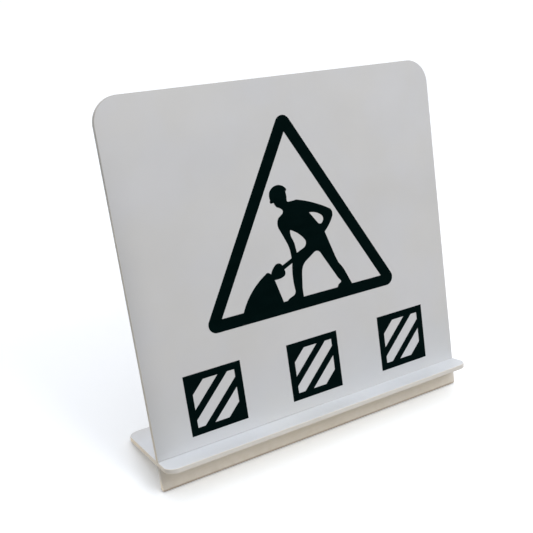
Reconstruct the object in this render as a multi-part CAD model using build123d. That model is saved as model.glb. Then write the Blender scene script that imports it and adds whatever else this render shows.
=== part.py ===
from build123d import *

import os
from math import atan2, cos, sin, sqrt

# Stand sign: two slotted plastic sheets crossed at right angles, with black cut film on the front.
# Millimetres. +Z is up, the sign faces -Y, and the origin is on the floor under the middle of the
# stand. Each piece is first made in the panel's own frame: X to the right, Y up the panel from its
# lower edge, Z out of its front face. Then all of them lean back together.

# Sheets
SHEET = 4.0
EDGE_EASE = 0.5
PANEL_WIDTH = 300.0
PANEL_HEIGHT = 300.0
PANEL_TOP_RADIUS = 20.0
PANEL_FOOT_RADIUS = 1.5
BASE_DEPTH = 96.0
BASE_CORNER_RADIUS = 10.0

# Crossing: the base's upper face above the panel's lower edge, and the base's depth before the panel
BASE_TOP = 25.0
LEDGE = 21.0
SLOT_PLAY = 0.2
SLOT_END_PLAY = 0.3

# Film on the panel's front: a row of hatched marks above the base, and the triangle above them
FILM = 0.1
MARK_SIZE = 50.0
MARK_BORDER = 6.0
MARK_STRIPE = 6.0
MARK_STRIPE_GAP = 9.0
MARK_SLANT = 45.0
MARK_GAP_BELOW = 10.5
MARK_SIDE_MARGIN = 31.5
TRIANGLE_GAP_BELOW = 26.5
TRIANGLE_TOP_MARGIN = 30.0
TRIANGLE_BAR = 10.0
TRIANGLE_CORNER_RADIUS = 7.0

# The figure's points stand on the ground line at y = 0, about the triangle's middle at x = 0, at the
# size that suits a triangle with this side. Its feet and the heap reach down into the triangle's bar.
FIGURE_TRIANGLE_SIDE = 190.5
FIGURE_SINK = -2.0

# Worked out from the above
slot_width = SHEET + 2 * SLOT_PLAY
base_width = PANEL_WIDTH
rear_depth = BASE_DEPTH - LEDGE
lean = atan2(BASE_TOP - SHEET, rear_depth - SHEET)
mark_foot = BASE_TOP + MARK_GAP_BELOW
mark_pitch = PANEL_WIDTH / 2 - MARK_SIDE_MARGIN - MARK_SIZE / 2
triangle_foot = mark_foot + MARK_SIZE + TRIANGLE_GAP_BELOW
triangle_tip = PANEL_HEIGHT - TRIANGLE_TOP_MARGIN
triangle_height = triangle_tip - triangle_foot + TRIANGLE_CORNER_RADIUS
triangle_side = triangle_height * 2 / sqrt(3)
figure_scale = triangle_side / FIGURE_TRIANGLE_SIDE


def sheet_plate(outline):
    """A plate of sheet on the given outline, its upper face at z = 0, with eased edges."""
    plate = extrude(outline, -SHEET)
    return fillet(plate.faces().filter_by(Axis.Z).edges(), EDGE_EASE)


def sign_panel():
    """The upright sheet, with a slot from its left edge to just past its middle."""
    outline = Rectangle(PANEL_WIDTH, PANEL_HEIGHT, align=(Align.CENTER, Align.MIN))
    outline = fillet(outline.vertices().group_by(Axis.Y)[-1], PANEL_TOP_RADIUS)
    outline = fillet(outline.vertices().group_by(Axis.Y)[0], PANEL_FOOT_RADIUS)
    slot_length = PANEL_WIDTH / 2 + SLOT_END_PLAY / 2
    slot = Box(slot_length, slot_width, SHEET, align=(Align.MIN, Align.CENTER, Align.MAX))
    return sheet_plate(outline) - Pos(-PANEL_WIDTH / 2, BASE_TOP - SHEET / 2, 0) * slot


def base_plate():
    """The flat sheet, with a slot from its right end to just past its middle."""
    outline = Rectangle(base_width, BASE_DEPTH, align=(Align.CENTER, Align.MIN))
    outline = fillet(outline.vertices(), BASE_CORNER_RADIUS)
    slot_length = base_width / 2 + SLOT_END_PLAY / 2
    slot = Box(slot_length, slot_width, SHEET, align=(Align.MAX, Align.CENTER, Align.MAX))
    plate = sheet_plate(outline) - Pos(base_width / 2, LEDGE + SHEET / 2, 0) * slot
    across_panel = Plane(origin=(0, BASE_TOP, LEDGE), x_dir=(1, 0, 0), z_dir=(0, 1, 0))
    return across_panel.location * plate


def traced(start, *steps):
    """A face inside a traced outline: a step is a point to go straight to, or a pair of points,
    the first on an arc and the second at its end. The last step closes on the start."""
    edges = []
    here = start
    for step in steps + (start,):
        if isinstance(step[0], tuple):
            through, end = step
            edges.append(ThreePointArc(here, through, end))
        else:
            end = step
            edges.append(Line(here, end))
        here = end
    return make_face(edges)


def worker():
    """The worker's silhouette, facing left and bent over, with the gaps inside the arms open."""
    body = traced(
        # cap, from the back of its rim over the crown to the tip of its peak
        (-4.8, 90.2),
        ((-12.7, 94.6), (-20.6, 89.8)),
        ((-21.1, 87.2), (-20.7, 83.7)),
        (-21.2, 82.3),
        ((-20.8, 81.3), (-20.0, 81.0)),
        (-17.7, 81.2),
        # chin and throat
        ((-16.9, 79.0), (-15.4, 77.1)),
        ((-13.1, 76.1), (-11.0, 74.5)),
        ((-10.6, 72.7), (-11.8, 71.0)),
        (-15.4, 68.5),
        # shoulder and straight arm, down to the hand
        ((-17.0, 64.6), (-15.8, 58.7)),
        (-11.2, 48.3),
        ((-9.4, 43.0), (-8.6, 37.5)),
        (-8.4, 30.0),
        # front shin and shoe
        ((-9.7, 16.5), (-9.0, 7.5)),
        ((-9.3, 4.9), (-10.8, 3.2)),
        (-14.6, 1.9),
        ((-16.3, 1.0), (-17.6, -0.4)),
        (-17.6, FIGURE_SINK),
        (-1.8, FIGURE_SINK),
        # back of the front leg, and the arch between the legs
        (-1.9, 7.5),
        (-0.4, 20.0),
        ((1.2, 25.0), (4.1, 28.6)),
        (12.7, 33.9),
        ((16.4, 35.0), (19.3, 33.3)),
        # rear leg, down to its shoe and up the calf
        (33.8, 8.0),
        (36.2, 5.0),
        ((36.2, 4.0), (35.4, 3.2)),
        (33.6, 2.4),
        (32.2, 0.0),
        (32.2, FIGURE_SINK),
        (48.1, FIGURE_SINK),
        (41.3, 13.0),
        ((39.5, 16.4), (37.4, 19.2)),
        (36.2, 20.8),
        (33.8, 26.4),
        # hip, bent elbow, back and neck
        (26.3, 49.3),
        (28.2, 51.1),
        ((32.6, 55.9), (35.6, 60.8)),
        ((35.9, 64.6), (33.6, 67.8)),
        ((18.5, 75.2), (5.0, 79.8)),
        ((2.8, 80.2), (0.5, 79.9)),
        (-4.2, 79.8),
        ((-5.3, 80.2), (-5.7, 81.2)),
        (-5.4, 84.1),
        (-5.8, 88.6),
        (-4.9, 89.2),
    )
    elbow_gap = traced(
        (13.6, 67.9),
        ((20.3, 66.5), (24.9, 63.8)),
        ((26.4, 60.9), (25.0, 57.5)),
        ((23.0, 56.7), (20.9, 57.8)),
    )
    arm_gap = traced(
        (-6.3, 56.9),
        ((-6.5, 53.5), (-5.0, 48.7)),
        (-3.9, 45.6),
        (-2.8, 37.4),
        (3.8, 40.0),
        ((6.9, 43.6), (6.6, 46.3)),
        ((1.9, 51.8), (-4.7, 56.3)),
    )
    return body - elbow_gap - arm_gap


def shovel():
    """The shovel: a straight handle out of the hand, and a round-backed blade on the heap."""
    handle = traced((-7.0, 34.6), (-19.0, 29.5), (-17.4, 26.0), (-7.0, 30.6))
    blade = traced(
        (-17.9, 30.1),
        ((-21.6, 32.5), (-25.2, 30.9)),
        ((-27.6, 28.2), (-29.2, 25.1)),
        (-29.5, 19.7),
        (-23.5, 19.7),
        ((-19.6, 20.2), (-16.9, 21.3)),
        ((-16.0, 23.2), (-16.5, 26.1)),
    )
    return handle + blade


def heap():
    """The heap of earth that the shovel stands in."""
    return traced(
        (-59.4, FIGURE_SINK),
        ((-48.4, 15.0), (-34.0, 26.2)),
        ((-32.2, 27.0), (-30.8, 26.4)),
        (-28.8, 25.0),
        (-26.4, 19.0),
        (-20.6, FIGURE_SINK),
    )


def upright_triangle(height):
    """An equal-sided triangle standing on y = 0, with its tip above x = 0."""
    half_side = height / sqrt(3)
    return make_face(Polyline((-half_side, 0), (half_side, 0), (0, height), close=True))


def warning_triangle_film():
    """One piece of film: the triangle's border, with the worker, shovel and heap standing in it."""
    border = fillet(upright_triangle(triangle_height).vertices(), TRIANGLE_CORNER_RADIUS)
    # a border of even width takes its width off the height three times: once below, twice at the tip
    field = upright_triangle(triangle_height - 3 * TRIANGLE_BAR)
    figure = scale(worker() + shovel() + heap(), figure_scale)
    drawing = border - Pos(0, TRIANGLE_BAR, 0) * field + Pos(0, TRIANGLE_BAR, 0) * figure
    return extrude(Pos(0, triangle_foot, 0) * drawing, FILM)


def hatch_mark_film():
    """One square of film with three slanting windows, standing on y = 0."""
    window_size = MARK_SIZE - 2 * MARK_BORDER
    stripe_pitch = MARK_STRIPE + MARK_STRIPE_GAP
    mark = Rectangle(MARK_SIZE, MARK_SIZE)
    for row in (-1, 0, 1):
        band = Pos(0, row * stripe_pitch, 0) * Rectangle(2 * MARK_SIZE, MARK_STRIPE_GAP)
        mark -= Rot(0, 0, MARK_SLANT) * band & Rectangle(window_size, window_size)
    return extrude(Pos(0, MARK_SIZE / 2, 0) * mark, FILM)


pieces = {
    "sign_panel": sign_panel(),
    "base_plate": base_plate(),
    "warning_triangle_film": warning_triangle_film(),
}
for side, place in (("left", -1), ("middle", 0), ("right", 1)):
    pieces["hatch_mark_" + side] = Pos(place * mark_pitch, mark_foot, 0) * hatch_mark_film()

# Lean the sign back until the panel's lower edge and the base's rear edge are level, then stand it
# on the floor over the origin
leaning = Plane(origin=(0, 0, 0), x_dir=(1, 0, 0), z_dir=(0, -cos(lean), sin(lean))).location
pieces = {node: leaning * piece for node, piece in pieces.items()}
reach = Compound(list(pieces.values())).bounding_box()
standing = Pos(-reach.center().X, -reach.center().Y, -reach.min.Z)

os.makedirs("parts", exist_ok=True)
for node, piece in pieces.items():
    export_step(standing * piece, "parts/" + node + ".step")
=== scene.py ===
# %% [markdown]
# # A stand sign from two crossed sheets
# A small warning sign for a counter or a floor. Two sheets of white plastic are each slotted to the
# middle and pushed into one another at right angles. The square one is the panel, the long low one is
# the base, and together they lean back and rest on two edges. Black film on the panel's front carries
# a warning triangle and a row of hatched marks.
#
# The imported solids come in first, as a fixed frame, and everything made here is in metres in it.

# %% Load the frame
from math import cos, degrees, pi, radians, sin

import bmesh
import bpy
from mathutils import Matrix, Vector


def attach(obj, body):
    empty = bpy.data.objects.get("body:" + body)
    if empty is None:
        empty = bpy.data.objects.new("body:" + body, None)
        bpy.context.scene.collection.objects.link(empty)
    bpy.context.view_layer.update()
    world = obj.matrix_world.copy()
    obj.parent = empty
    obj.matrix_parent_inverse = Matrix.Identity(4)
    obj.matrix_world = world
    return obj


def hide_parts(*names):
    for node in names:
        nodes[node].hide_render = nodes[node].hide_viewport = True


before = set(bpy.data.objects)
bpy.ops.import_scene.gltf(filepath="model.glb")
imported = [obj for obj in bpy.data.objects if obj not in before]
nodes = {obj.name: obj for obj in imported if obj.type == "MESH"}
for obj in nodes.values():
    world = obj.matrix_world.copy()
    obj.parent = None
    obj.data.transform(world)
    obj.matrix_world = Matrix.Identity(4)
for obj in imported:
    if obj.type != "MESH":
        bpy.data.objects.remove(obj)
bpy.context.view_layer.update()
MM = 0.001
print("nodes:", ", ".join(sorted(nodes)))

# %% [markdown]
# ## The panel as a drawing board
# Both sheets and all the film lie square to the panel, so it is easiest to draw on the panel as on a
# drawing board: x to the right, v up the panel from its foot, n out of its front. The solids say how
# that board stands. The largest flat that looks at the reader gives its normal, and how far each solid
# reaches along the board's three directions gives the sizes, so nothing has to be measured twice.

# %% Read the board and the sizes from the solids
def reader_side(node):
    """The normal of a node's largest face that looks towards the reader, on -Y."""
    faces = [face for face in nodes[node].data.polygons if face.normal.y < 0]
    return max(faces, key=lambda face: face.area).normal.copy()


def reach(node, direction):
    """The lowest and highest value of a node's solid along a direction."""
    along = [vertex.co.dot(direction) for vertex in nodes[node].data.vertices]
    return min(along), max(along)


ACROSS = Vector((1, 0, 0))
OUT = reader_side("sign_panel")
UP = OUT.cross(ACROSS)
panel_foot, panel_head = reach("sign_panel", UP)
panel_back, panel_front = reach("sign_panel", OUT)
base_rear, base_nose = reach("base_plate", OUT)

SHEET = panel_front - panel_back
PANEL_HEIGHT = panel_head - panel_foot
HALF_WIDTH = reach("sign_panel", ACROSS)[1]
BASE_TOP = reach("base_plate", UP)[1] - panel_foot
BASE_DEPTH = base_nose - base_rear
LEDGE = base_nose - panel_front
print(f"lean {degrees(OUT.angle((0, -1, 0))):.2f} degrees, sheet {SHEET / MM:.2f} mm")
print(f"panel {2 * HALF_WIDTH / MM:.1f} x {PANEL_HEIGHT / MM:.1f} mm")
print(f"base {BASE_DEPTH / MM:.1f} mm deep, its ledge {LEDGE / MM:.1f} mm")


def board(x_axis, y_axis, origin):
    """The matrix that lays a drawing in x and y on a plane of the sign."""
    turned = Matrix((x_axis, y_axis, x_axis.cross(y_axis))).transposed().to_4x4()
    return Matrix.Translation(origin) @ turned


panel_board = board(ACROSS, UP, UP * panel_foot + OUT * panel_front)
base_board = board(ACROSS, -OUT, UP * (panel_foot + BASE_TOP) + OUT * base_nose)

# %% [markdown]
# ## A helper for node trees
# Every finish below is a small tree of shader nodes. One helper makes a node, sets its properties, and
# either fills a socket with a value or links it, so that a finish reads from top to bottom.

# %% A helper for node trees
def add(tree, kind, inputs=None, **properties):
    """A new node in a tree: an input given as a socket is linked, and anything else is set."""
    made = tree.nodes.new(kind)
    for name, value in properties.items():
        setattr(made, name, value)
    for key, value in (inputs or {}).items():
        if isinstance(value, bpy.types.NodeSocket):
            tree.links.new(value, made.inputs[key])
        else:
            made.inputs[key].default_value = value
    return made


def new_finish(name):
    """An empty material, its tree, and the texture coordinates of its surface."""
    finish = bpy.data.materials.new(name)
    finish.use_nodes = True
    finish.node_tree.nodes.clear()
    return finish, finish.node_tree, add(finish.node_tree, "ShaderNodeTexCoord")


def noise(tree, place, scale, detail=3.0, stretch=(1, 1, 1), turn=0.0):
    """A noise pattern's value. The scale is in waves a metre, and stretch draws it out into streaks."""
    laid = add(tree, "ShaderNodeMapping", {"Vector": place, "Scale": stretch, "Rotation": (0, 0, turn)})
    inputs = {"Vector": laid.outputs["Vector"], "Scale": scale, "Detail": detail}
    return add(tree, "ShaderNodeTexNoise", inputs).outputs["Fac"]


def between(tree, value, low, high, least=0.0, most=1.0):
    """A value's range from low to high, mapped on to the range from least to most and held there."""
    inputs = {"Value": value, "From Min": low, "From Max": high, "To Min": least, "To Max": most}
    return add(tree, "ShaderNodeMapRange", inputs).outputs["Result"]


def combined(tree, operation, first, second):
    """Two values put together by one sum, product or other operation."""
    return add(tree, "ShaderNodeMath", {0: first, 1: second}, operation=operation).outputs["Value"]


def blend(tree, share, first, second, kind="MIX"):
    """Two colours mixed, or multiplied, by a share of the second."""
    inputs = {"Fac": share, "Color1": first, "Color2": second}
    return add(tree, "ShaderNodeMixRGB", inputs, blend_type=kind).outputs["Color"]


def bumped(tree, relief, depth, strength):
    """A normal that follows a relief of the given depth."""
    inputs = {"Height": relief, "Distance": depth, "Strength": strength}
    return add(tree, "ShaderNodeBump", inputs).outputs["Normal"]


print("node helpers ready")

# %% [markdown]
# ## The white sheet's skin
# The sheet is extruded plastic with a satin skin. Close to, it has a fine pebble from the rollers, a
# sheen that is a little uneven, and the hairlines that wiping leaves, which are duller. An image of a
# real sheet could be wrapped on for this, but noise in object coordinates has no seams, and its waves
# are in real sizes. What lies on top of the skin is added in the next two steps.

# %% Skin: pebble, sheen and hairlines
PLASTIC_IOR = 1.49
PEBBLE_WAVES = 1500
PEBBLE_DEPTH = 0.05 * MM
PEBBLE_STRENGTH = 0.06
SHEEN_WAVES = 45
SHEEN_BAND = (0.3, 0.7)
SHEEN_ROUGHNESS = (0.34, 0.42)
HAIRLINE_WAVES = 60
HAIRLINE_LAYS = ((30, 0.6), (24, -0.4))
HAIRLINE_BAND = (0.66, 0.72)
HAIRLINE_DULLING = 0.08


def pebbled(tree, place, depth, strength):
    """A normal that follows the rollers' pebble."""
    return bumped(tree, noise(tree, place, PEBBLE_WAVES, detail=2), depth, strength)


def satin_sheen(tree, place):
    """A roughness that is a little uneven, with duller hairlines in two lays of stretch and turn."""
    roughness = between(tree, noise(tree, place, SHEEN_WAVES), *SHEEN_BAND, *SHEEN_ROUGHNESS)
    for stretch, turn in HAIRLINE_LAYS:
        streaks = noise(tree, place, HAIRLINE_WAVES, 2, (1, 1, stretch), turn)
        dulled = between(tree, streaks, *HAIRLINE_BAND, 0, HAIRLINE_DULLING)
        roughness = combined(tree, "ADD", roughness, dulled)
    return roughness


def end_in_plastic(tree, colour, roughness, normal):
    """Closes a tree with a plastic surface."""
    shader = add(tree, "ShaderNodeBsdfPrincipled", {
        "Base Color": colour, "Roughness": roughness, "Normal": normal, "IOR": PLASTIC_IOR,
    })
    add(tree, "ShaderNodeOutputMaterial", {"Surface": shader.outputs["BSDF"]})


print("skin ready: pebble, sheen and", len(HAIRLINE_LAYS), "lays of hairlines")

# %% [markdown]
# ## Wear and painted light on a sheet
# A sign stands on floors, so it is never quite clean, and some of its light and shade is painted into
# its colour. Painted shade darkens one end of a sheet, less so towards the top. In the corner over the
# ledge, a faint blue-grey tint is a painted reflection of the ledge. Low down a sheet takes up some
# dust, which is also painted shade on the strip under the ledge, and a brown line where it meets the
# floor is partly grime and partly painted contact shadow. Each of these is a function that takes a
# colour and gives it back a little changed, so they can be laid over one another like coats of paint.

# %% Wear and painted light: end shade, ledge reflection, dust and foot line
# Painted shade at one end of a sheet, darker low down.
END_SHADE_GREY = (0.350, 0.350, 0.355, 1)
END_SHADE_REACH = 25 * MM
END_SHADE_FADE = 2.0
END_SHADE_BELOW = 280 * MM
END_SHADE_FULL = 170 * MM
# A painted reflection of the ledge: a faint blue-grey tint in the corner over it.
LEDGE_REFLECTION_TINT = (0.955, 0.978, 0.992, 1)
REFLECTION_FOOT = 24 * MM
REFLECTION_FULL = 26 * MM
REFLECTION_FADING = 31 * MM
REFLECTION_END = 80 * MM
# Dust low down, also painted shade on the strip under the ledge.
DUST_AND_SHADE = (0.520, 0.480, 0.420, 1)
DUST_AND_SHADE_HEIGHT = 12 * MM
DUST_AND_SHADE_WAVES = 160
DUST_AND_SHADE_BAND = (0.35, 0.75)
DUST_AND_SHADE_SHARE = (0.25, 0.65)
# A brown line along the floor, partly grime and partly painted contact shadow.
GRIME_AND_SHADOW = (0.185, 0.115, 0.045, 1)
FOOT_LINE_HEIGHT = 2.8 * MM
FOOT_LINE_FULL = 1.0 * MM
FOOT_LINE_SHARE = 0.85


def end_shaded(tree, position, colour, end, share):
    """Painted shade at one end of a sheet, fading upwards: -1 is its left end, and 1 its right one."""
    tip = end * HALF_WIDTH
    near_tip = between(tree, position["X"], tip - end * END_SHADE_REACH, tip)
    low_enough = between(tree, position["Z"], END_SHADE_BELOW, END_SHADE_FULL, 0, share)
    grey = combined(tree, "MULTIPLY", combined(tree, "POWER", near_tip, END_SHADE_FADE), low_enough)
    return blend(tree, grey, colour, END_SHADE_GREY)


def ledge_reflected(tree, position, colour, share):
    """A painted reflection of the ledge: a blue-grey tint in the corner over it, fading upwards."""
    over_ledge = between(tree, position["Z"], REFLECTION_FOOT, REFLECTION_FULL, 0, share)
    fading = between(tree, position["Z"], REFLECTION_END, REFLECTION_FADING)
    return blend(tree, combined(tree, "MULTIPLY", over_ledge, fading), colour, LEDGE_REFLECTION_TINT, "MULTIPLY")


def dusted_and_shaded(tree, place, position, colour):
    """Dust low down that is partly painted shade, and a brown foot line that is partly painted shadow.
    """
    low_down = between(tree, position["Z"], DUST_AND_SHADE_HEIGHT, 0)
    dust_and_shade_spots = between(tree, noise(tree, place, DUST_AND_SHADE_WAVES, detail=6), *DUST_AND_SHADE_BAND, *DUST_AND_SHADE_SHARE)
    colour = blend(tree, combined(tree, "MULTIPLY", low_down, dust_and_shade_spots), colour, DUST_AND_SHADE)
    face_foot_line = between(tree, position["Z"], FOOT_LINE_HEIGHT, FOOT_LINE_FULL, 0, FOOT_LINE_SHARE)
    return blend(tree, face_foot_line, colour, GRIME_AND_SHADOW)


# The dust is partly painted shade, and the foot line partly painted contact shadow.
print(f"wear ready: dust up to {DUST_AND_SHADE_HEIGHT / MM:.0f} mm and grime up to {FOOT_LINE_HEIGHT / MM:.1f} mm")

# %% [markdown]
# ## The two sheets' faces
# Under all that the white is even, but never a flat colour: it is a little cloudy, and in places a
# breath warmer. The base's white is a shade bluer and lighter than the panel's, as painted light that
# stands in for the cool light on its upward faces. The panel has painted shade along its left edge and
# the base at its right end, and only the panel has the painted reflection over the ledge. One function
# makes both finishes, because the rest is alike. All of it is kept so faint that a sheet still reads as
# clean and white.

# %% Finish: satin sheet
PANEL_WHITE = (0.734, 0.715, 0.712, 1)
PANEL_CLOUD = (0.698, 0.680, 0.677, 1)
# The base's white is bluer and lighter as painted light, for the cool light on its upward faces.
BASE_SKYLIT_WHITE = (0.740, 0.754, 0.782, 1)
BASE_SKYLIT_CLOUD = (0.716, 0.731, 0.760, 1)
CLOUD_WAVES = 14
CLOUD_BAND = (0.35, 0.70)
WARM_TINGE = (1.000, 0.992, 0.968, 1)
TINGE_WAVES = 20
TINGE_BAND = (0.38, 0.62)
TINGE_TURN = 1.0
LEFT = -1
RIGHT = 1


def satin_sheet(name, white, cloudy, shaded_end, end_shade_share, ledge_reflection_share):
    """A sheet's face, with the shares of painted shade at one end and of a painted reflection over the
    ledge.
    """
    finish, tree, coords = new_finish(name)
    place = coords.outputs["Object"]
    position = add(tree, "ShaderNodeSeparateXYZ", {0: place}).outputs
    clouds = between(tree, noise(tree, place, CLOUD_WAVES, detail=4), *CLOUD_BAND)
    tinged = between(tree, noise(tree, place, TINGE_WAVES, detail=4, turn=TINGE_TURN), *TINGE_BAND)
    colour = blend(tree, clouds, white, cloudy)
    colour = blend(tree, tinged, colour, WARM_TINGE, "MULTIPLY")
    # Painted shade at one end, and a painted reflection over the ledge.
    colour = end_shaded(tree, position, colour, shaded_end, end_shade_share)
    colour = ledge_reflected(tree, position, colour, ledge_reflection_share)
    # Dust and a foot line, partly painted shade and painted shadow.
    colour = dusted_and_shaded(tree, place, position, colour)
    normal = pebbled(tree, place, PEBBLE_DEPTH, PEBBLE_STRENGTH)
    end_in_plastic(tree, colour, satin_sheen(tree, place), normal)
    return finish


panel_face = satin_sheet("satin_panel", PANEL_WHITE, PANEL_CLOUD, LEFT, end_shade_share=0.32, ledge_reflection_share=1.0)
base_face = satin_sheet("satin_base", BASE_SKYLIT_WHITE, BASE_SKYLIT_CLOUD, RIGHT, end_shade_share=0.17, ledge_reflection_share=0.0)
print("finish:", panel_face.name, len(panel_face.node_tree.nodes), "nodes")
print("finish:", base_face.name, len(base_face.node_tree.nodes), "nodes")

# %% [markdown]
# ## The sheet's cut edge
# Where the router went round, the skin is gone: the edge is a shade creamier, duller, and ribbed across
# by the cutter's teeth. Those ribs follow the outline round its corners, so this finish reads the
# edge's own UV map, which runs along the outline in metres. Along the two edges that stand on the
# floor, a brown line is partly grime and partly painted contact shadow, and round the top the edge is
# darkened by painted shade. For both of these the height above the floor comes from object coordinates.

# %% Finish: routed edge
EDGE_CREAM = (0.814, 0.766, 0.708, 1)
EDGE_SHADE = (0.749, 0.697, 0.627, 1)
PATCH_WAVES = (60, 200, 1)
PATCH_BAND = (0.35, 0.75)
RIB_WAVES = (1400, 40, 1)
RIB_DEPTH = 0.06 * MM
RIB_STRENGTH = 0.25
RIB_BAND = (0.3, 0.7)
RIB_ROUGHNESS = (0.48, 0.60)
# A brown line along the floor, partly grime and partly painted contact shadow.
EDGE_FOOT_LINE_HEIGHT = 2.2 * MM
EDGE_FOOT_LINE_FULL = 0.8 * MM
# Painted shade that darkens the edge round the top.
UPPER_EDGE_SHADE = (0.400, 0.390, 0.380, 1)
UPPER_SHADE_FROM = 195 * MM
UPPER_SHADE_FULL = 235 * MM
UPPER_SHADE_SHARE = 0.5


def routed_edge():
    """The edge's finish: its waves are given along the edge and across it."""
    finish, tree, coords = new_finish("routed_edge")
    run = coords.outputs["UV"]
    ribs = noise(tree, run, 1, 2, RIB_WAVES)
    patches = noise(tree, run, 1, 3, PATCH_WAVES)
    height = add(tree, "ShaderNodeSeparateXYZ", {0: coords.outputs["Object"]}).outputs["Z"]
    edge_foot_line = between(tree, height, EDGE_FOOT_LINE_HEIGHT, EDGE_FOOT_LINE_FULL)
    upper_shade = between(tree, height, UPPER_SHADE_FROM, UPPER_SHADE_FULL, 0, UPPER_SHADE_SHARE)
    colour = blend(tree, between(tree, patches, *PATCH_BAND), EDGE_CREAM, EDGE_SHADE)
    # A brown foot line that is partly painted shadow, and painted shade round the top.
    colour = blend(tree, edge_foot_line, colour, GRIME_AND_SHADOW)
    colour = blend(tree, upper_shade, colour, UPPER_EDGE_SHADE)
    roughness = between(tree, ribs, *RIB_BAND, *RIB_ROUGHNESS)
    end_in_plastic(tree, colour, roughness, bumped(tree, ribs, RIB_DEPTH, RIB_STRENGTH))
    return finish


edge = routed_edge()
print("finish:", edge.name, len(edge.node_tree.nodes), "nodes")

# %% [markdown]
# ## The black film
# The graphics are cut from self-adhesive film, near black with a breath of green, and almost matt. It
# is thin enough to follow the sheet's pebble, only shallower, and where it was rubbed down its sheen is
# a little uneven. A low specular level on the shader keeps it from mirroring the bright tent.

# %% Finish: black film
FILM_BLACK = (0.0001, 0.0040, 0.0038, 1)
FILM_RUBBED = (0.0008, 0.0055, 0.0053, 1)
FILM_GLINT = 0.012
FILM_PEBBLE_DEPTH = 0.04 * MM
FILM_PEBBLE_STRENGTH = 0.05
RUBBED_WAVES = 70
RUBBED_STRETCH = (1, 1, 2.5)
RUBBED_TURN = 0.5
RUBBED_BAND = (0.40, 0.75)
RUBBED_ROUGHNESS = (0.46, 0.56)


def black_film():
    """The film's finish, between untouched and rubbed down."""
    finish, tree, coords = new_finish("matt_black_film")
    place = coords.outputs["Object"]
    streaks = noise(tree, place, RUBBED_WAVES, 4, RUBBED_STRETCH, RUBBED_TURN)
    rubbed = between(tree, streaks, *RUBBED_BAND)
    shader = add(tree, "ShaderNodeBsdfPrincipled", {
        "Base Color": blend(tree, rubbed, FILM_BLACK, FILM_RUBBED),
        "Roughness": between(tree, rubbed, 0, 1, *RUBBED_ROUGHNESS),
        "Normal": pebbled(tree, place, FILM_PEBBLE_DEPTH, FILM_PEBBLE_STRENGTH),
        "Specular IOR Level": FILM_GLINT,
    })
    add(tree, "ShaderNodeOutputMaterial", {"Surface": shader.outputs["BSDF"]})
    return finish


film = black_film()
print("finish:", film.name, len(film.node_tree.nodes), "nodes")

# %% [markdown]
# ## Cutting a sheet
# A cut sheet is its outline given a thickness, with the sharp rims eased. A Bevel modifier that reads
# edge weights does the easing: full weight on the outer rim, less inside a slot, where only the burr
# is taken off. A Weighted Normal modifier then keeps the large faces flat right up to the rim. Each
# side wall gets a UV map that runs along the outline, for the router's ribs.

# %% A helper that cuts a sheet
EDGE_EASE = 0.5 * MM
SLOT_EASE = 0.1 * MM
EASE_STEPS = 4
SHARP_TURN = radians(40)


def quarter(centre_x, centre_y, radius, first_angle, steps):
    """Points round a quarter turn, anticlockwise from the first angle, in radians."""
    angles = [first_angle + pi / 2 * step / steps for step in range(steps + 1)]
    return [(centre_x + radius * cos(a), centre_y + radius * sin(a)) for a in angles]


def bake(piece):
    """Turns a piece's modifiers into plain mesh."""
    scene_now = bpy.context.evaluated_depsgraph_get()
    mesh = bpy.data.meshes.new_from_object(piece.evaluated_get(scene_now), depsgraph=scene_now)
    piece.modifiers.clear()
    piece.data = mesh
    return piece


def cut_sheet(name, face_finish, outline, slot_points, placing):
    """A sheet with eased rims, from its outline drawn anticlockwise on its upper face."""
    bm = bmesh.new()
    upper = [bm.verts.new((x, y, 0)) for x, y in outline]
    lower = [bm.verts.new((x, y, -SHEET)) for x, y in outline]
    faces = [bm.faces.new(upper), bm.faces.new(lower[::-1])]
    uv = bm.loops.layers.uv.new("along_edge")
    weight = bm.edges.layers.float.new("bevel_weight_edge")
    run = 0.0
    for i, start in enumerate(outline):
        j = (i + 1) % len(outline)
        wall = bm.faces.new((lower[i], lower[j], upper[j], upper[i]))
        wall.material_index = 1
        length = (Vector(outline[j]) - Vector(start)).length
        for loop, spot in zip(wall.loops, ((0, 0), (length, 0), (length, SHEET), (0, SHEET))):
            loop[uv].uv = (run + spot[0], spot[1])
        run += length
        in_slot = start in slot_points and outline[j] in slot_points
        for rim in (upper, lower):
            bm.edges.get((rim[i], rim[j]))[weight] = SLOT_EASE / EDGE_EASE if in_slot else 1.0
    for face in faces:
        for loop in face.loops:
            loop[uv].uv = loop.vert.co.xy
    for line in bm.edges:
        line.smooth = line.calc_face_angle(pi) < SHARP_TURN
    for face in bm.faces:
        face.smooth = True
    mesh = bpy.data.meshes.new(name)
    bm.to_mesh(mesh)
    bm.free()
    mesh.materials.append(face_finish)
    mesh.materials.append(edge)
    piece = bpy.data.objects.new(name, mesh)
    bpy.context.scene.collection.objects.link(piece)
    ease = piece.modifiers.new("eased rims", "BEVEL")
    ease.width = EDGE_EASE
    ease.segments = EASE_STEPS
    ease.limit_method = "WEIGHT"
    ease.use_clamp_overlap = False
    ease.material = 1
    flat = piece.modifiers.new("flat faces", "WEIGHTED_NORMAL")
    flat.keep_sharp = True
    bake(piece)
    piece.data.transform(placing)
    print(f"{name}: {len(piece.data.polygons)} faces, {run / MM:.0f} mm of cut edge")
    return piece


# %% [markdown]
# ## The panel
# A square sheet with two generous top corners that can't catch a sleeve, and foot corners that are
# only just broken. Its slot comes in from the left edge to the middle, as wide as the other sheet and
# a hair of play, so the outline simply turns in and out again there.

# %% Cut the panel
PANEL_TOP_RADIUS = 20 * MM
PANEL_TOP_STEPS = 28
PANEL_FOOT_RADIUS = 1.5 * MM
PANEL_FOOT_STEPS = 6
SLOT_PLAY = 0.2 * MM
SLOT_END_PLAY = 0.3 * MM

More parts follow.
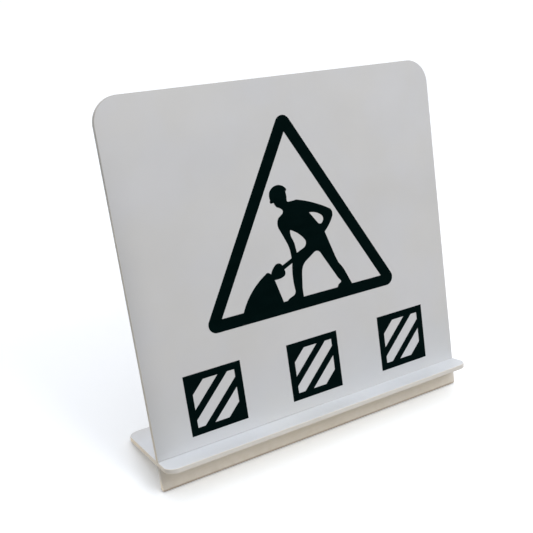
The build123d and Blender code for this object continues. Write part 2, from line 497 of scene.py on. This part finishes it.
slot_half = SHEET / 2 + SLOT_PLAY
slot_end = SLOT_END_PLAY / 2
slot_middle = BASE_TOP - SHEET / 2
panel_slot = [
    (-HALF_WIDTH, slot_middle + slot_half), (slot_end, slot_middle + slot_half),
    (slot_end, slot_middle - slot_half), (-HALF_WIDTH, slot_middle - slot_half),
]
foot_x = HALF_WIDTH - PANEL_FOOT_RADIUS
top_x = HALF_WIDTH - PANEL_TOP_RADIUS
top_v = PANEL_HEIGHT - PANEL_TOP_RADIUS
panel_outline = (
    quarter(-foot_x, PANEL_FOOT_RADIUS, PANEL_FOOT_RADIUS, pi, PANEL_FOOT_STEPS)
    + quarter(foot_x, PANEL_FOOT_RADIUS, PANEL_FOOT_RADIUS, 1.5 * pi, PANEL_FOOT_STEPS)
    + quarter(top_x, top_v, PANEL_TOP_RADIUS, 0, PANEL_TOP_STEPS)
    + quarter(-top_x, top_v, PANEL_TOP_RADIUS, pi / 2, PANEL_TOP_STEPS)
    + panel_slot
)
panel = cut_sheet("panel_sheet", panel_face, panel_outline, panel_slot, panel_board)

# %% [markdown]
# ## The base
# A long sheet with four round corners, square to the panel. Its slot comes in from the right end, so
# each sheet passes through the half of the other that is open. A narrow ledge stands out in front, and
# the deep part behind is the foot that the sign leans back on.

# %% Cut the base
BASE_CORNER_RADIUS = 10 * MM
BASE_CORNER_STEPS = 18

slot_middle = LEDGE + SHEET / 2
base_slot = [
    (HALF_WIDTH, slot_middle - slot_half), (-slot_end, slot_middle - slot_half),
    (-slot_end, slot_middle + slot_half), (HALF_WIDTH, slot_middle + slot_half),
]
corner_x = HALF_WIDTH - BASE_CORNER_RADIUS
rear_y = BASE_DEPTH - BASE_CORNER_RADIUS
base_outline = (
    quarter(-corner_x, BASE_CORNER_RADIUS, BASE_CORNER_RADIUS, pi, BASE_CORNER_STEPS)
    + quarter(corner_x, BASE_CORNER_RADIUS, BASE_CORNER_RADIUS, 1.5 * pi, BASE_CORNER_STEPS)
    + base_slot
    + quarter(corner_x, rear_y, BASE_CORNER_RADIUS, 0, BASE_CORNER_STEPS)
    + quarter(-corner_x, rear_y, BASE_CORNER_RADIUS, pi / 2, BASE_CORNER_STEPS)
)
base = cut_sheet("base_sheet", base_face, base_outline, base_slot, base_board)

# %% [markdown]
# ## The row of hatched marks
# Under the triangle stand three square marks with slanting windows, cut from the same film. They are
# all alike, so one Geometry Nodes tree makes them: a row of slanting bars is trimmed to the window's
# square, cut out of a square of film, and the result is set out three times along a line. The sizes
# that the solids show are read from them, and only the widths inside the mark are given. The bars and
# the window's square are a few films thick, so that no two faces lie in one plane when they are cut.

# %% Geometry Nodes: hatched marks
MARK_BORDER = 6 * MM
MARK_STRIPE = 6 * MM
MARK_STRIPE_GAP = 9 * MM
MARK_SLANT = pi / 4
BAR_COUNT = 3
BAR_MARKS_LONG = 2.0
BAR_FILMS_THICK = 6.0
WINDOW_FILMS_THICK = 4.0
MARK_NODES = ("hatch_mark_left", "hatch_mark_middle", "hatch_mark_right")

mark_low, mark_high = reach(MARK_NODES[1], ACROSS)
mark_places = [sum(reach(node, ACROSS)) / 2 for node in MARK_NODES]
mark_foot = reach(MARK_NODES[1], UP)[0] - panel_foot
film_back, film_front = reach(MARK_NODES[1], OUT)
MARK_SIZES = {
    "Mark": mark_high - mark_low,
    "Border": MARK_BORDER,
    "Stripe": MARK_STRIPE,
    "Gap": MARK_STRIPE_GAP,
    "Slant": MARK_SLANT,
    "Pitch": mark_places[1] - mark_places[0],
    "Film": film_front - film_back,
}


def hatched_marks():
    """The tree for the row of marks, drawn about its middle, with the film's back at z = 0."""
    tree = bpy.data.node_groups.new("hatched_marks", "GeometryNodeTree")
    for name in MARK_SIZES:
        tree.interface.new_socket(name, in_out="INPUT", socket_type="NodeSocketFloat")
    tree.interface.new_socket("Geometry", in_out="OUTPUT", socket_type="NodeSocketGeometry")
    size = add(tree, "NodeGroupInput").outputs

    def value(operation, first, second):
        return combined(tree, operation, first, second)

    def block(wide, deep, thick):
        sides = add(tree, "ShaderNodeCombineXYZ", {0: wide, 1: deep, 2: thick}).outputs["Vector"]
        return add(tree, "GeometryNodeMeshCube", {"Size": sides}).outputs["Mesh"]

    def row(step_x, step_y, count, shape):
        """Copies of a shape along a line about the middle, as real geometry."""
        back = -0.5 * (count - 1)
        step = add(tree, "ShaderNodeCombineXYZ", {0: step_x, 1: step_y})
        start = add(tree, "ShaderNodeVectorMath", {
            0: step.outputs["Vector"], "Scale": back,
        }, operation="SCALE")
        line = add(tree, "GeometryNodeMeshLine", {
            "Count": count, "Start Location": start.outputs["Vector"], "Offset": step.outputs["Vector"],
        })
        copies = add(tree, "GeometryNodeInstanceOnPoints", {
            "Points": line.outputs["Mesh"], "Instance": shape,
        }).outputs["Instances"]
        return add(tree, "GeometryNodeRealizeInstances", {"Geometry": copies}).outputs["Geometry"]

    window = value("SUBTRACT", size["Mark"], value("MULTIPLY", size["Border"], 2.0))
    bar_length = value("MULTIPLY", size["Mark"], BAR_MARKS_LONG)
    bar = block(bar_length, size["Gap"], value("MULTIPLY", size["Film"], BAR_FILMS_THICK))
    bars = row(0.0, value("ADD", size["Stripe"], size["Gap"]), BAR_COUNT, bar)
    turn = add(tree, "ShaderNodeCombineXYZ", {2: size["Slant"]}).outputs["Vector"]
    slanted = add(tree, "GeometryNodeTransform", {"Geometry": bars, "Rotation": turn})
    trimmed = add(tree, "GeometryNodeMeshBoolean", {
        "Mesh 2": block(window, window, value("MULTIPLY", size["Film"], WINDOW_FILMS_THICK)),
    }, operation="INTERSECT", solver="MANIFOLD")
    # an intersection takes all its meshes by the one socket
    tree.links.new(slanted.outputs["Geometry"], trimmed.inputs["Mesh 2"])
    mark = add(tree, "GeometryNodeMeshBoolean", {
        "Mesh 1": block(size["Mark"], size["Mark"], size["Film"]), "Mesh 2": trimmed.outputs["Mesh"],
    }, operation="DIFFERENCE", solver="MANIFOLD")
    marks = row(size["Pitch"], 0.0, len(MARK_NODES), mark.outputs["Mesh"])
    half_film = add(tree, "ShaderNodeCombineXYZ", {2: value("MULTIPLY", size["Film"], 0.5)})
    raised = add(tree, "GeometryNodeTransform", {
        "Geometry": marks, "Translation": half_film.outputs["Vector"],
    })
    dressed = add(tree, "GeometryNodeSetMaterial", {
        "Geometry": raised.outputs["Geometry"], "Material": film,
    })
    add(tree, "NodeGroupOutput", {"Geometry": dressed.outputs["Geometry"]})
    return tree


marks = bpy.data.objects.new("hatched_marks", bpy.data.meshes.new("hatched_marks"))
bpy.context.scene.collection.objects.link(marks)
maker = marks.modifiers.new("hatched marks", "NODES")
maker.node_group = hatched_marks()
for socket in maker.node_group.interface.items_tree:
    if socket.in_out == "INPUT":
        maker[socket.identifier] = MARK_SIZES[socket.name]
bake(marks)
mark_middle = mark_foot + (mark_high - mark_low) / 2
marks.data.transform(panel_board @ Matrix.Translation((mark_places[1], mark_middle, 0)))
print(f"{marks.name}: {len(marks.data.polygons)} faces")

# %% [markdown]
# ## The warning triangle
# The triangle's border, the worker, the shovel and the heap are one piece of cut film. Its outline is
# exact in the solid already, so the solid itself stays and only takes the film's finish.

# %% Dress the triangle
triangle = nodes["warning_triangle_film"]
triangle.material_slots[0].material = film
print("triangle:", len(triangle.data.polygons), "faces")

# %% [markdown]
# ## What moves with what
# The panel and its film are the body called sign. The base is a body of its own, which slides out to
# the left when the stand is taken apart.

# %% Ride on the bodies
for piece, body, slot, stands_for in (
    (panel, "sign", "white_sheet", ("sign_panel",)),
    (base, "base", "white_sheet", ("base_plate",)),
    (marks, "sign", "black_film", MARK_NODES),
):
    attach(piece, body)
    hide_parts(*stands_for)
    print(piece.name, "rides on", body)

# %% [markdown]
# ## The floor
# The sign is shown on white, with only a soft shadow under it. To the camera, and in reflections, the
# floor is white that darkens where light is kept off it. To the light that bounces off it, it is a
# table top that also glows a little, as painted warm bounce light: it is dark under the sign as painted
# shadow, warm and bright close by, and dimmer further out. This tints the low edges of the sign. The
# distance from the sign's own footprint runs through a colour ramp for that. The footprint is taken 20
# mm deeper at the back than it is, so that the rear edge isn't tinted as well.

# %% Lay the floor
FLOOR_HALF = 30.0
FLOOR_GLOW = 0.11
FLOOR_WHITE = (0.978, 0.987, 1.000, 1)
FOOTPRINT_MIDDLE = (0, 0.011, 0)
FOOTPRINT_HALF = (0.150, 0.049, 0)
# The table's colours and glow are painted bounce light, with painted shadow under the sign.
TABLE_REACH = 80 * MM
TABLE_GLOW = 0.66
TABLE_STOPS = (
    (0.00, (0.20, 0.17, 0.13, 1)),
    (0.06, (0.92, 0.765, 0.49, 1)),
    (0.45, (0.22, 0.20, 0.17, 1)),
    (1.00, (0.12, 0.12, 0.11, 1)),
)


def seen_by_camera(tree):
    """1 for rays from the camera and for reflections of what it sees, and 0 for bounced light."""
    path = add(tree, "ShaderNodeLightPath").outputs
    seen = combined(tree, "MAXIMUM", path["Is Camera Ray"], path["Is Glossy Ray"])
    return combined(tree, "MAXIMUM", seen, path["Is Transmission Ray"])


def away_from_sign(tree, place):
    """The distance of a place on the floor from the sign's footprint, and 0 inside it."""
    def vector(operation, *inputs):
        return add(tree, "ShaderNodeVectorMath", dict(enumerate(inputs)), operation=operation).outputs

    offset = vector("ABSOLUTE", vector("SUBTRACT", place, FOOTPRINT_MIDDLE)["Vector"])["Vector"]
    past = vector("SUBTRACT", offset, FOOTPRINT_HALF)["Vector"]
    return vector("LENGTH", vector("MAXIMUM", past, (0, 0, 0))["Vector"])["Value"]


def white_floor():
    """The floor's finish: white as it is seen, and a table top as it bounces light."""
    finish, tree, coords = new_finish("white_floor")
    share = between(tree, away_from_sign(tree, coords.outputs["Object"]), 0, TABLE_REACH)
    ramp = add(tree, "ShaderNodeValToRGB", {"Fac": share})
    stops = ramp.color_ramp.elements
    while len(stops) < len(TABLE_STOPS):
        stops.new(1.0)
    for stop, (position, colour) in zip(stops, TABLE_STOPS):
        stop.position = position
        stop.color = colour
    lit = add(tree, "ShaderNodeBsdfDiffuse", {"Color": ramp.outputs["Color"]})
    warm = add(tree, "ShaderNodeEmission", {"Color": ramp.outputs["Color"], "Strength": TABLE_GLOW})
    table = add(tree, "ShaderNodeAddShader", {0: lit.outputs[0], 1: warm.outputs[0]})
    white = add(tree, "ShaderNodeBsdfDiffuse", {"Color": FLOOR_WHITE})
    glow = add(tree, "ShaderNodeEmission", {"Strength": FLOOR_GLOW})
    shown = add(tree, "ShaderNodeAddShader", {0: white.outputs[0], 1: glow.outputs[0]})
    mixed = add(tree, "ShaderNodeMixShader", {
        0: seen_by_camera(tree), 1: table.outputs[0], 2: shown.outputs[0],
    })
    add(tree, "ShaderNodeOutputMaterial", {"Surface": mixed.outputs[0]})
    return finish


floor_mesh = bpy.data.meshes.new("floor")
corners = [(-FLOOR_HALF, -FLOOR_HALF, 0), (FLOOR_HALF, -FLOOR_HALF, 0),
           (FLOOR_HALF, FLOOR_HALF, 0), (-FLOOR_HALF, FLOOR_HALF, 0)]
floor_mesh.from_pydata(corners, [], [(0, 1, 2, 3)])
floor_mesh.materials.append(white_floor())
floor = bpy.data.objects.new("floor", floor_mesh)
bpy.context.scene.collection.objects.link(floor)
print("floor laid")

# %% [markdown]
# ## The light
# The light is that of a white tent: a bright roof that leans to the right and a little to the front, a
# back wall that shines past the panel on to the base, and a dim wall on the left. A wall is strongest
# in the direction that it stands in and fades with the square of the angle's cosine, so they run into
# one another without a seam. One broad lamp, high in front and a little to the right, lights the panel
# and keeps its shadow soft. The camera itself looks out on plain white.

# %% Light the tent
TENT_WALLS = (
    ((0, 0, 1), (0.795, 0.814, 0.836, 1)),
    ((0.6, 0, 0.8), (0.608, 0.623, 0.645, 1)),
    ((0, -0.6, 0.8), (0.25, 0.26, 0.27, 1)),
    ((0, 1, 0), (1.148, 1.170, 1.253, 1)),
    ((-1, 0, 0), (0.20, 0.21, 0.21, 1)),
)
WALL_FADE = 2.0
BACKDROP = 1.0
LAMP_POWER = 4.8
LAMP_COLOUR = (0.92, 0.955, 1.0)
LAMP_SIZE = 0.56
LAMP_PLACE = Vector((0.28, -0.72, 1.03))
LAMP_AIM = Vector((0.0, 0.0, 0.12))


def light_tent():
    """The world: the tent's walls added up for the light, and plain white for the camera."""
    world = bpy.data.worlds.new("light_tent")
    world.use_nodes = True
    tree = world.node_tree
    tree.nodes.clear()
    direction = add(tree, "ShaderNodeTexCoord").outputs["Generated"]
    tent = None
    for facing, colour in TENT_WALLS:
        along = add(tree, "ShaderNodeVectorMath", {0: direction, 1: facing}, operation="DOT_PRODUCT")
        facing_it = combined(tree, "MAXIMUM", along.outputs["Value"], 0.0)
        share = combined(tree, "POWER", facing_it, WALL_FADE)
        wall = add(tree, "ShaderNodeBackground", {"Color": colour, "Strength": share}).outputs[0]
        tent = add(tree, "ShaderNodeAddShader", {0: tent, 1: wall}).outputs[0] if tent else wall
    white = add(tree, "ShaderNodeBackground", {"Strength": BACKDROP, "Color": (1, 1, 1, 1)})
    mixed = add(tree, "ShaderNodeMixShader", {
        0: seen_by_camera(tree), 1: tent, 2: white.outputs[0],
    })
    add(tree, "ShaderNodeOutputWorld", {"Surface": mixed.outputs[0]})
    return world


bpy.context.scene.world = light_tent()
lamp_data = bpy.data.lights.new("broad_lamp", "AREA")
lamp_data.shape = "DISK"
lamp_data.energy = LAMP_POWER
lamp_data.color = LAMP_COLOUR
lamp_data.size = LAMP_SIZE
lamp = bpy.data.objects.new("broad_lamp", lamp_data)
lamp.location = LAMP_PLACE
lamp.rotation_euler = (LAMP_PLACE - LAMP_AIM).to_track_quat("Z", "Y").to_euler()
bpy.context.scene.collection.objects.link(lamp)
bpy.context.scene.view_settings.view_transform = "Standard"
print("light set")

# %% [markdown]
# ## The camera
# The photograph looks down on the sign from its left. The panel's sides stay nearly upright in it, as
# they do when a picture is cropped and the lens looked lower than the middle that is left. The camera's
# shift allows for that. It is kept small, because every other view of the sign is shifted with it.

# %% Set the camera
PICTURE = 533
FOCAL_PIXELS = 742.4
LENS_DROP_PIXELS = 20
AIM = Vector((-40.8, -8.3, 139.7)) * MM
AZIMUTH = radians(-29.99)
ELEVATION = radians(27.05)
DISTANCE = 584 * MM
NEAREST = 10 * MM

camera_data = bpy.data.cameras.new("camera")
camera_data.sensor_fit = "HORIZONTAL"
camera_data.lens = camera_data.sensor_width * FOCAL_PIXELS / PICTURE
camera_data.shift_y = LENS_DROP_PIXELS / PICTURE
camera_data.clip_start = NEAREST
camera = bpy.data.objects.new("camera", camera_data)
towards_camera = Vector((
    sin(AZIMUTH) * cos(ELEVATION), -cos(AZIMUTH) * cos(ELEVATION), sin(ELEVATION),
))
camera.location = AIM + towards_camera * DISTANCE
camera.rotation_euler = towards_camera.to_track_quat("Z", "Y").to_euler()
bpy.context.scene.collection.objects.link(camera)
bpy.context.scene.camera = camera
print("camera at", [round(c, 4) for c in camera.location])
